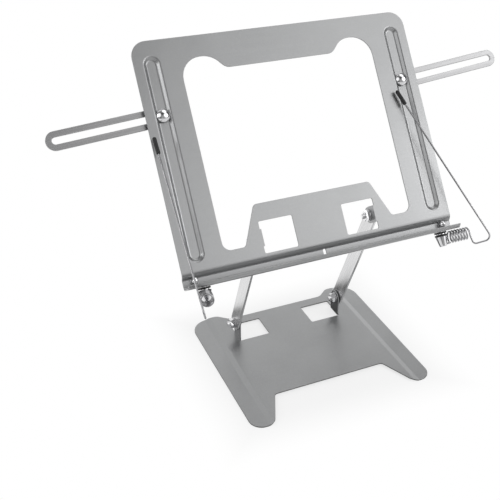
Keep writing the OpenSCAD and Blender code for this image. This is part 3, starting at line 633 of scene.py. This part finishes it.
for s in (-1, 1):
    side = sideNames[s]
    at, springDir = jointPlace(side + "_wire_swing")
    springAxes = axesFrom(springDir, plateUp)
    leanAxes = springAxes @ np.array(Matrix.Rotation(math.radians(wire["lean"][s]), 3, "X"))
    clipAxes = np.stack([np.cross(springAxes[:, 1], plateUp), springAxes[:, 1], plateUp], axis=1)
    swivelAt = jointPlace(side + "_clip_swivel")[0] + clip["ledgeDrop"] * plateUp

    # swivel pin: peened head in the ledge, flange between the rings, tapered body with a rounded lower end
    ringTop = -clip["ledgeDrop"] - clip["ringGap"]
    flangeTop = ringTop - clip["ringT"]
    bodyTop = flangeTop - clip["flangeT"] - clip["ringT"]
    bodyLow = bodyTop - clip["bodyL"]
    headLow = clip["ledgeT"] - clip["ledgeDrop"] + clip["ringGap"]
    soft, pinR, headR = clip["soft"], clip["pinD"] / 2, clip["headD"] / 2
    flangeR, tipR = clip["flangeD"] / 2, clip["tipD"] / 2
    rimR, flangeLow = flangeR - clip["flangeIn"], flangeTop - clip["flangeT"]
    profile = np.concatenate([
        [[0, bodyLow]], arc(2 * soft, (tipR - 1.6 * soft, bodyLow + 2 * soft), -90, -10, 6),
        [[flangeR - 0.4 * soft, bodyTop - soft], [flangeR - soft, bodyTop], [pinR, bodyTop],
         [pinR, flangeLow], [rimR - soft, flangeLow]],
        arc(soft, (rimR - soft, flangeLow + soft), -90, 0, 4),
        arc(soft, (rimR - soft, flangeTop - soft), 0, 90, 4),
        [[pinR, flangeTop], [pinR, headLow], [headR, headLow]],
        domeProfile(headR, clip["headH"], clip["headRim"], headLow, 10)])
    pinGrid = latheGrid(profile, clip["sides"])
    pin = meshPiece(side + "ClipPin", [(placed(pinGrid, swivelAt, clipAxes), False, False)], 30)
    fit(pin, side + "_clip", chrome, side + "_clip_pivot")

    # rubber rings above and below the flange
    rings = []
    for low in (flangeTop, bodyTop):
        ring = ringGrid(pinR, flangeR, clip["ringT"], clip["ringSoft"]) + [0, 0, low]
        rings.append((placed(ring, swivelAt, clipAxes), True, False))
    fit(meshPiece(side + "ClipRings", rings), side + "_clip", rubber, side + "_clip_rings")

    # coil, from the clip to the wire arm, on no body
    path = springPath(wire["lean"][s])
    fromAxis = path * [0, 1, 1]
    coil = tubeGrid(path, fromAxis, spring["wireD"] / 2, spring["sides"])
    coilPiece = meshPiece(side + "ClipSpring", [(placed(coil, at, springAxes), False, True)], 50)
    fit(coilPiece, None, springWire, side + "_clip_spring")
    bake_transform(coilPiece)

    # wire arm
    path = wirePath(s)
    arm = tubeGrid(path, np.broadcast_to([0.0, 1.0, 0.0], path.shape), spring["wireD"] / 2, spring["sides"])
    armPiece = meshPiece(side + "ClipWire", [(placed(arm, at, leanAxes), False, True)], 50)
    fit(armPiece, side + "_wire", springWire, side + "_clip_wire")

    # sleeve: soft tube with a rounded rim and a closed round end
    r, bore, rim = sleeve["d"] / 2, sleeve["bore"] / 2, sleeve["rim"]
    low, cap = rim - sleeve["l"], -sleeve["cap"]
    profile = np.concatenate([
        [[0, cap], [bore, cap], [bore, low]], arc(rim, (bore + rim, low), 180, 270, 4),
        arc(rim, (r - rim, low), -90, 0, 4), arc(r, (0, 0), 0, 90, 14)])
    inward = math.radians(wire["inward"][s])
    runDir = np.array([-math.sin(inward), 0, math.cos(inward)])
    tipAxes = leanAxes @ np.stack([np.cross([0, 1.0, 0], runDir), [0, 1.0, 0], runDir], axis=1)
    tube = placed(latheGrid(profile, sleeve["sides"]), placed(path[-1], at, leanAxes), tipAxes)
    sleevePiece = meshPiece(side + "ClipSleeve", [(tube, False, False)], 50)
    fit(sleevePiece, side + "_wire", rubber, side + "_clip_sleeve")

    # ball-headed rivet in the back wall of the ledge
    ballR = ballRivet["d"] / 2
    neckR = ballR / 2
    tailR = ballRivet["tailWide"] * neckR
    ballAt = ballRivet["stepBack"] - ballR - ballRivet["gap"]
    tailAt = ballRivet["stepBack"] + clip["ledgeT"]
    tailEnd = domeProfile(tailR, ballRivet["tailH"], ballRivet["tailRim"], tailAt, 8) * [1, -1]
    ball = arc(ballR, (0, -ballAt), -60, 90, 20)
    profile = np.concatenate([tailEnd[::-1], [[tailR, -tailAt], [neckR, -tailAt]], ball])
    place = bendPlace + plateAxes @ np.array([swivelAt[0] + s * ballRivet["out"], 0, -ballRivet["drop"]])
    rivetGrid = latheGrid(profile, ballRivet["sides"])
    rivet = meshPiece(side + "ClipRivet", [(placed(rivetGrid, place, outward), False, False)], 50)
    fit(rivet, "plate", chrome, side + "_clip_rivet")
print("page clips ready")


# floor, lamps and camera

def mathNode(nodes, link, operation, *values):
    # a number from two or three values; each may be a number or another node's output
    node = nodes.new("ShaderNodeMath")
    node.operation = operation
    for k, value in enumerate(values):
        if isinstance(value, (int, float)):
            node.inputs[k].default_value = value
        else:
            link(value, node.inputs[k])
    return node.outputs[0]


def floorFinish():
    # pale floor: plain white to the camera further off, with its own shading near the stand;
    # mirrors see it white behind the stand and dark in front of the base, and under the base and just around
    # it its colour is darkened to mirrors, a painted shade
    # underShade: how far the floor's colour is darkened to mirrors under and around the base, a painted shade
    look = {"colour": 0.9, "underShade": 0.78, "near": 0.7, "far": 1.0, "mirroredFront": 0.04,
            "mirroredBack": 0.95, "frontToBack": (-0.13, 0.0), "base": (0.0745, 0.066, 1),
            "outside": (1.0, 1.25), "nearToFar": (0.8, 1.45)}
    material = bpy.data.materials.new("paleFloor")
    material.use_nodes = True
    nodes, link = material.node_tree.nodes, material.node_tree.links.new
    nodes.clear()
    out, mix = nodes.new("ShaderNodeOutputMaterial"), nodes.new("ShaderNodeMixShader")
    diffuse, glow = nodes.new("ShaderNodeBsdfDiffuse"), nodes.new("ShaderNodeEmission")
    path, place, split = (nodes.new("ShaderNode" + kind) for kind in ("LightPath", "TexCoord", "SeparateXYZ"))

    def ramp(value, span, low, high):
        # low to high, softly, as value goes over the span
        node = nodes.new("ShaderNodeMapRange")
        node.interpolation_type = "SMOOTHSTEP"
        for key, number in (("From Min", span[0]), ("From Max", span[1]), ("To Min", low), ("To Max", high)):
            node.inputs[key].default_value = number
        link(value, node.inputs["Value"])
        return node.outputs["Result"]

    def across(vector, operation, other=None):
        # one operation on each of a vector's three numbers
        node = nodes.new("ShaderNodeVectorMath")
        node.operation = operation
        link(vector, node.inputs[0])
        if other:
            node.inputs[1].default_value = other
        return node.outputs["Vector"]

    link(place.outputs["Object"], split.inputs[0])
    behind = ramp(split.outputs["Y"], look["frontToBack"], look["mirroredFront"], look["mirroredBack"])
    inBase = across(across(place.outputs["Object"], "ABSOLUTE"), "DIVIDE", look["base"])
    sides = nodes.new("ShaderNodeSeparateXYZ")
    link(inBase, sides.inputs[0])
    reach = mathNode(nodes, link, "MAXIMUM", sides.outputs["X"], sides.outputs["Y"])  # 1 at the base's edge
    outside = ramp(reach, look["outside"], 0.0, 1.0)
    seen = ramp(reach, look["nearToFar"], look["near"], look["far"])
    bright = mathNode(nodes, link, "ADD", path.outputs["Is Glossy Ray"], path.outputs["Is Transmission Ray"])
    lit = mathNode(nodes, link, "MULTIPLY", behind, outside)
    mirrored = mathNode(nodes, link, "MULTIPLY", bright, lit)
    share = mathNode(nodes, link, "MULTIPLY_ADD", path.outputs["Is Camera Ray"], seen, mirrored)
    # painted shade: to mirror rays the floor's colour is darkened under the base and just around it, standing
    # in for its shadow there
    inner = mathNode(nodes, link, "SUBTRACT", 1.0, outside)
    paintedShadeShare = mathNode(nodes, link, "MULTIPLY", bright, inner)
    tone = mathNode(nodes, link, "MULTIPLY_ADD", paintedShadeShare, -look["underShade"], look["colour"])
    link(tone, diffuse.inputs["Color"])
    link(share, mix.inputs["Fac"])
    link(diffuse.outputs[0], mix.inputs[1])
    link(glow.outputs[0], mix.inputs[2])
    link(mix.outputs[0], out.inputs["Surface"])
    return material


def studioWorld():
    # dim room with light panels: each is full within one angle of its middle and fades to nothing at another
    world = bpy.data.worlds.new("studio")
    world.use_nodes = True
    nodes, link = world.node_tree.nodes, world.node_tree.links.new
    nodes.clear()
    out, mix = nodes.new("ShaderNodeOutputWorld"), nodes.new("ShaderNodeMixShader")
    room, white = nodes.new("ShaderNodeBackground"), nodes.new("ShaderNodeBackground")
    place, path = nodes.new("ShaderNodeTexCoord"), nodes.new("ShaderNodeLightPath")
    level = studio["ambient"]
    for way, full, none, strength in studio["panels"]:
        dot, panel = nodes.new("ShaderNodeVectorMath"), nodes.new("ShaderNodeMapRange")
        dot.operation = "DOT_PRODUCT"
        dot.inputs[1].default_value = unit(way)
        panel.interpolation_type = "SMOOTHSTEP"
        least, most = math.cos(math.radians(none)), math.cos(math.radians(full))
        for key, number in (("From Min", least), ("From Max", most), ("To Min", 0.0), ("To Max", strength)):
            panel.inputs[key].default_value = number
        link(place.outputs["Generated"], dot.inputs[0])
        link(dot.outputs["Value"], panel.inputs["Value"])
        level = mathNode(nodes, link, "ADD", panel.outputs["Result"], level)
    room.inputs["Color"].default_value = white.inputs["Color"].default_value = (1, 1, 1, 1)
    link(level, room.inputs["Strength"])
    link(path.outputs["Is Camera Ray"], mix.inputs["Fac"])
    link(room.outputs[0], mix.inputs[1])
    link(white.outputs[0], mix.inputs[2])
    link(mix.outputs[0], out.inputs["Surface"])
    bpy.context.scene.world = world


def softbox(name, at, look, size, energy):
    # rectangular lamp turned to what it looks at
    lamp = bpy.data.lights.new(name, "AREA")
    lamp.shape = "RECTANGLE"
    lamp.size, lamp.size_y = size
    lamp.energy = energy
    holder = bpy.data.objects.new(name, lamp)
    holder.location = at
    holder.rotation_euler = (Vector(look) - Vector(at)).to_track_quat("-Z", "Y").to_euler()
    bpy.context.scene.collection.objects.link(holder)


studio = {"floor": 6.0, "floorDrop": 2e-5, "target": (0, 0, 0.1), "ambient": 0.05,
          "panels": (((0.626, -0.608, 0.488), 13.2, 37.5, 1.36),  # large soft panel, right
                     ((0.2, 0.3, 0.93), 20.0, 50.0, 0.2),         # ceiling
                     ((0.4, 0.08, 0.91), 8.0, 28.0, 1.4),         # small panel overhead, for the ledge's bend
                     ((-0.2, 0.94, 0.25), 34.0, 60.0, 0.7),       # backdrop
                     ((0.66, 0.72, 0.2), 8.0, 28.0, 0.95),        # backdrop, low right
                     ((-0.77, -0.28, 0.57), 13.0, 34.0, 1.15),    # side panel, left
                     ((0.05, -0.97, 0.2), 18.0, 48.0, 0.3)),      # weak panel, front
          "lamps": (("keyRight", (0.90, -0.55, 0.62), (0.4, 0.4), 1.3),
                    ("sideLeft", (-1.05, 0.02, 0.5), (0.15, 0.7), 1.0))}
floorMesh = bpy.data.meshes.new("floor")
half, low = studio["floor"] / 2, -studio["floorDrop"]
floorCorners = [(-half, -half, low), (half, -half, low), (half, half, low), (-half, half, low)]
floorMesh.from_pydata(floorCorners, [], [(0, 1, 2, 3)])
floorPiece = bpy.data.objects.new("floor", floorMesh)
floorMesh.materials.append(floorFinish())
bpy.context.scene.collection.objects.link(floorPiece)
studioWorld()
for name, at, size, energy in studio["lamps"]:
    softbox(name, at, studio["target"], size, energy)

view = {"at": (-0.22812, -0.42584, 0.38777), "yaw": 22.879, "pitch": 31.548, "lens": 55.667, "sensor": 36,
        "nearest": 0.01}
lens = bpy.data.cameras.new("photoCamera")
lens.sensor_width = view["sensor"]
lens.lens = view["lens"]
lens.clip_start = view["nearest"]
camera = bpy.data.objects.new("photoCamera", lens)
camera.location = view["at"]
camera.rotation_euler = (math.radians(90 - view["pitch"]), 0, math.radians(-view["yaw"]))
bpy.context.scene.collection.objects.link(camera)
bpy.context.scene.camera = camera
bpy.context.scene.view_settings.view_transform = "Standard"
print("stage ready")
